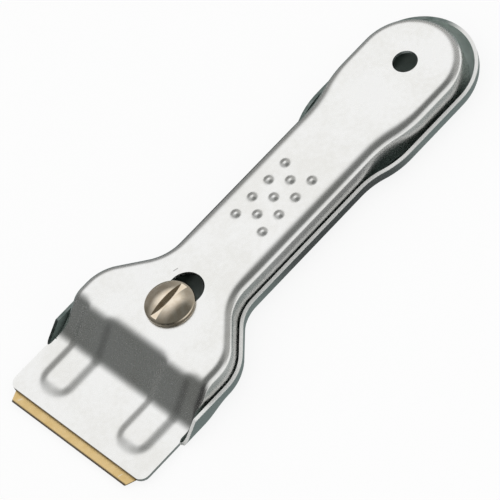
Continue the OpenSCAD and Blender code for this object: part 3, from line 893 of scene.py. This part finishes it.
# The near colours paint the tool's shadow on the ground next to it.
near = front.mix(handle.mix((0.20, 0.23, 0.225, 1), (0.07, 0.075, 0.075, 1)), (0.12, 0.122, 0.118, 1))
far = x.between(0.040, 0.052).mix((0.95, 0.95, 0.94, 1), (0.08, 0.08, 0.08, 1))
# Painted shade: the ground in the corner where the handle meets the flare is darker.
corner = w.math("SQRT", (x - 0.016) * (x - 0.016) + (y - 0.018) * (y - 0.018))
open_side = away.between(0.0055, 0.0145) * y.between(0.0, 0.01) * (1 - front)
open_side = open_side * (0.2 + 0.8 * corner.between(0.004, 0.010))
feed(
    shader, w, Base_Color=(0, 0, 0, 1), Specular_IOR_Level=0.0, Emission_Strength=1.0,
    Emission_Color=open_side.mix(near, far),
)
card.cycles.emission_sampling = "NONE"
ground = stage_piece("ground_card", square * CARD_HALF - [0, 0, CARD_DROP], card)
ground.visible_camera = ground.visible_diffuse = ground.visible_shadow = False
ground.visible_transmission = ground.visible_volume_scatter = False
print("ground card:", len(card.node_tree.nodes), "nodes")

# %% [markdown]
# For the same reason, the studio has one long window above the far side, a bright strip low on the near
# side and grey walls elsewhere. Lamps could stand there, but they would light the floor as well, so the
# walls are colours by direction that the metal mirrors, and dull surfaces get an even white instead. The
# angle across is in degrees: 0 is straight up, and it is negative towards the far side.

# %% Studio walls
world = bpy.data.worlds.new("white_studio")
scene.world = world
world.use_nodes = True
world.cycles.sampling_method = "NONE"
w = Wire(world.node_tree)
x, y, z = parts(w.add("ShaderNodeTexCoord", out=0))
across = w.math("ARCTAN2", y, z) * (180 / np.pi)
length = 1 - x.between(-0.2, 0.75)
window = across.between(-66, -46) * (1 - across.between(-18, 8)) * length
dim = (x + y).between(0.7, 1.15).mix((0.15, 0.155, 0.15, 1), (0.05, 0.05, 0.05, 1))
low_side = (1 - across.between(-75, -45)) * (1 - x.between(0.1, 0.4))
dim = low_side.mix(dim, (0.26, 0.26, 0.255, 1))
walls = (window * z.between(0.05, 0.3)).mix(dim, (1, 1, 1, 1))
walls = (across.between(46, 68) * length).mix(walls, (0.9, 0.9, 0.9, 1))
walls = (1 - x.between(-0.8, -0.45)).mix(walls, (0.40, 0.40, 0.39, 1))
mirrored = w.add("ShaderNodeBackground", {}, {"Color": walls, "Strength": 1.0})
even = w.add("ShaderNodeBackground", {}, {"Color": (1, 1, 1, 1), "Strength": 0.9})
sky = w.add("ShaderNodeMixShader", {}, {0: seen_rays(w), 1: even, 2: mirrored})
w.tree.links.new(sky.socket, world.node_tree.nodes["World Output"].inputs[0])
print("studio walls:", len(world.node_tree.nodes), "nodes")

# %% [markdown]
# One soft lamp stands in the window and gives the light its direction. Then the camera: its place and
# turn were found by fitting the tool's known edges to where they lie in the picture, so it is set from a
# matrix and not aimed at a target.

# %% Lamp and camera
RIGHT = (-0.66984056, 0.70149403, -0.24335109)
DOWN = (0.69550617, 0.47803398, -0.53642770)
AHEAD = (-0.25997074, -0.52857321, -0.80809998)
EYE = (0.24189178, 0.47923477, 0.73484481)
SENSOR, FOCAL_PX, PICTURE_PX = 36.0, 3711.642, 500


def placed(columns, spot):
    """A matrix with three axes as its columns, moved to a spot in metres."""
    return Matrix.Translation(spot) @ Matrix(np.stack(columns, 1).tolist()).to_4x4()


def soft_lamp(name, spot, size, power):
    """A square lamp at a spot in millimetres, turned to face the middle of the tool."""
    lamp = bpy.data.lights.new(name, "AREA")
    lamp.size, lamp.energy = size * MM, power
    holder = bpy.data.objects.new(name, lamp)
    back = np.array(spot, float) / np.linalg.norm(spot)
    right = np.cross([0, 0, 1], back)
    right /= np.linalg.norm(right)
    holder.matrix_world = placed([right, np.cross(back, right), back], [c * MM for c in spot])
    scene.collection.objects.link(holder)


soft_lamp("window_lamp", spot=(-300, -700, 1000), size=1200, power=0.3)

lens = bpy.data.cameras.new("photo_camera")
lens.sensor_width, lens.lens = SENSOR, SENSOR * FOCAL_PX / PICTURE_PX
lens.clip_start, lens.clip_end = 0.05, 20.0
camera = bpy.data.objects.new("photo_camera", lens)
camera.matrix_world = placed([RIGHT, np.negative(DOWN), np.negative(AHEAD)], EYE)
scene.collection.objects.link(camera)
scene.camera = camera
scene.view_settings.view_transform = "Standard"
print("camera stands", round(camera.location.length, 3), "m away")

# %% Sizes and finish
low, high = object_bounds()
